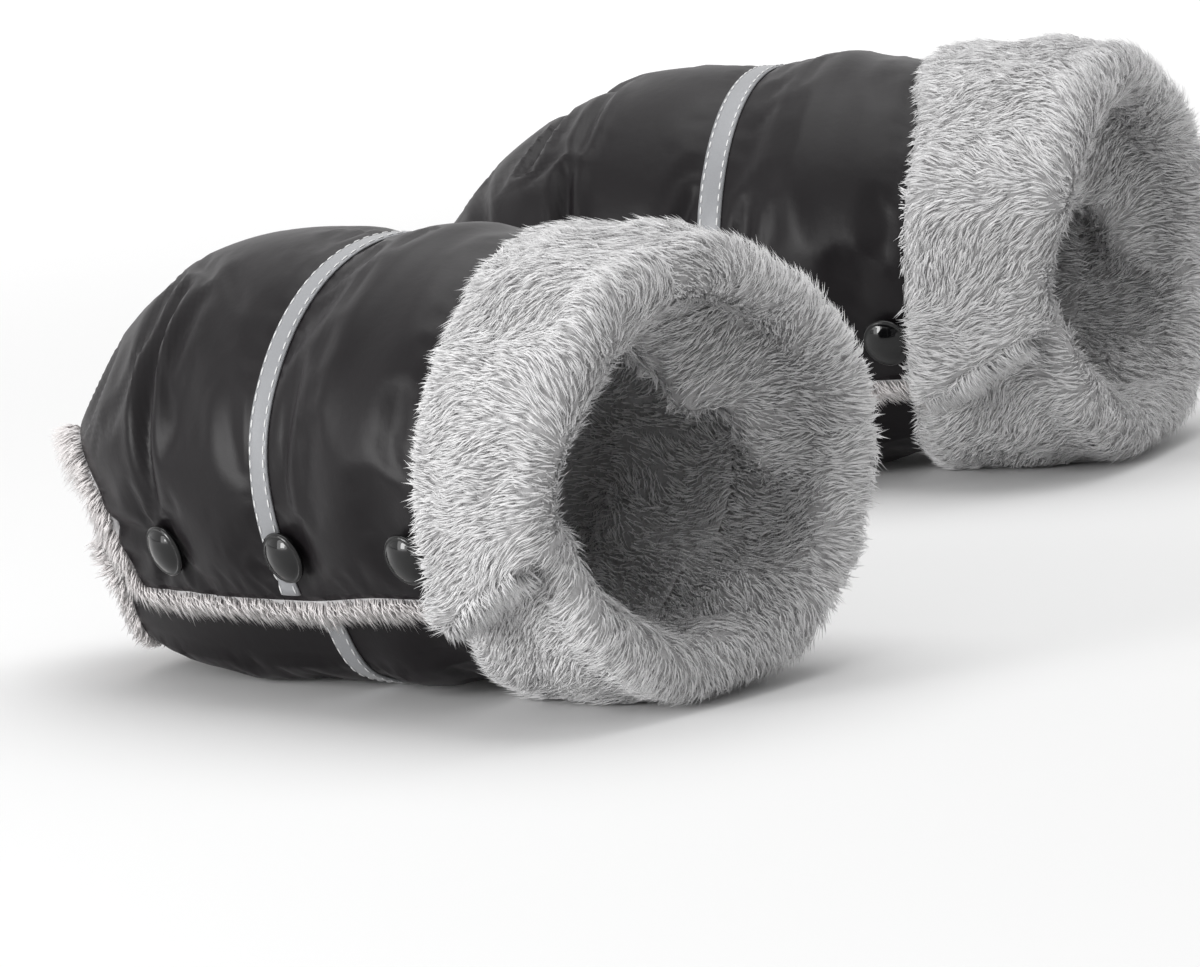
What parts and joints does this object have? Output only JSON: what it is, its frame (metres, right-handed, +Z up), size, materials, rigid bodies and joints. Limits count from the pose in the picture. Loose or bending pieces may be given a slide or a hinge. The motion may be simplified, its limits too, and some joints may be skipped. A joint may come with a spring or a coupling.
{
  "type": "stroller hand muff",
  "caption": "Pair of padded handle muffs with a smooth dark shell, plush lining and turned-back cuff, closed along one side by a flap with press studs and crossed by a reflective strip.",
  "frame": {"origin": "on the floor under the middle of the pair's box", "axes": "+X the side the hands enter from, +Y from the left muff to the right one, +Z up"},
  "size_m": [0.4006, 0.5724, 0.1506],
  "materials": {
    "shell_cloth": "smooth proofed polyester with a soft sheen",
    "wadding": "loose polyester wadding",
    "plush": "long-pile plush, light grey",
    "reflective_tape": "grey reflective tape, satin",
    "snap_black": "glossy black lacquer",
    "snap_steel": "plated, bright"
  },
  "bodies": {
    "muffs": {"left_outer_shell": "shell_cloth", "left_padding": "wadding", "left_fur_lining": "plush", "left_fur_cuff": "plush", "left_neck_fur": "plush", "left_strip_body": "reflective_tape", "left_snap_stud_1": "snap_steel", "left_snap_stud_2": "snap_steel", "left_snap_stud_3": "snap_steel", "left_snap_post_1": "snap_steel", "left_snap_post_2": "snap_steel", "left_snap_post_3": "snap_steel", "right_outer_shell": "shell_cloth", "right_padding": "wadding", "right_fur_lining": "plush", "right_fur_cuff": "plush", "right_neck_fur": "plush", "right_strip_body": "reflective_tape", "right_snap_stud_1": "snap_steel", "right_snap_stud_2": "snap_steel", "right_snap_stud_3": "snap_steel", "right_snap_post_1": "snap_steel", "right_snap_post_2": "snap_steel", "right_snap_post_3": "snap_steel"},
    "left_flap": {"left_flap_shell": "shell_cloth", "left_flap_padding": "wadding", "left_flap_lining": "plush", "left_flap_cuff": "plush", "left_hem_fur": "plush", "left_strip_flap": "reflective_tape", "left_snap_cap_1": "snap_black", "left_snap_cap_2": "snap_black", "left_snap_cap_3": "snap_black", "left_snap_socket_1": "snap_steel", "left_snap_socket_2": "snap_steel", "left_snap_socket_3": "snap_steel"},
    "right_flap": {"right_flap_shell": "shell_cloth", "right_flap_padding": "wadding", "right_flap_lining": "plush", "right_flap_cuff": "plush", "right_hem_fur": "plush", "right_strip_flap": "reflective_tape", "right_snap_cap_1": "snap_black", "right_snap_cap_2": "snap_black", "right_snap_cap_3": "snap_black", "right_snap_socket_1": "snap_steel", "right_snap_socket_2": "snap_steel", "right_snap_socket_3": "snap_steel"}
  },
  "joints": [
    {"name": "left_flap_fold", "type": "hinge", "parent": "muffs", "child": "left_flap", "pos_m": [0.17862, -0.26843, 0.13065], "axis": [-0.9915, 0.1191, -0.0525], "range_deg": [0, 70]},
    {"name": "right_flap_fold", "type": "hinge", "parent": "muffs", "child": "right_flap", "pos_m": [0.10463, 0.15498, 0.13065], "axis": [-0.9724, -0.2271, -0.0525], "range_deg": [0, 70]}
  ]
}
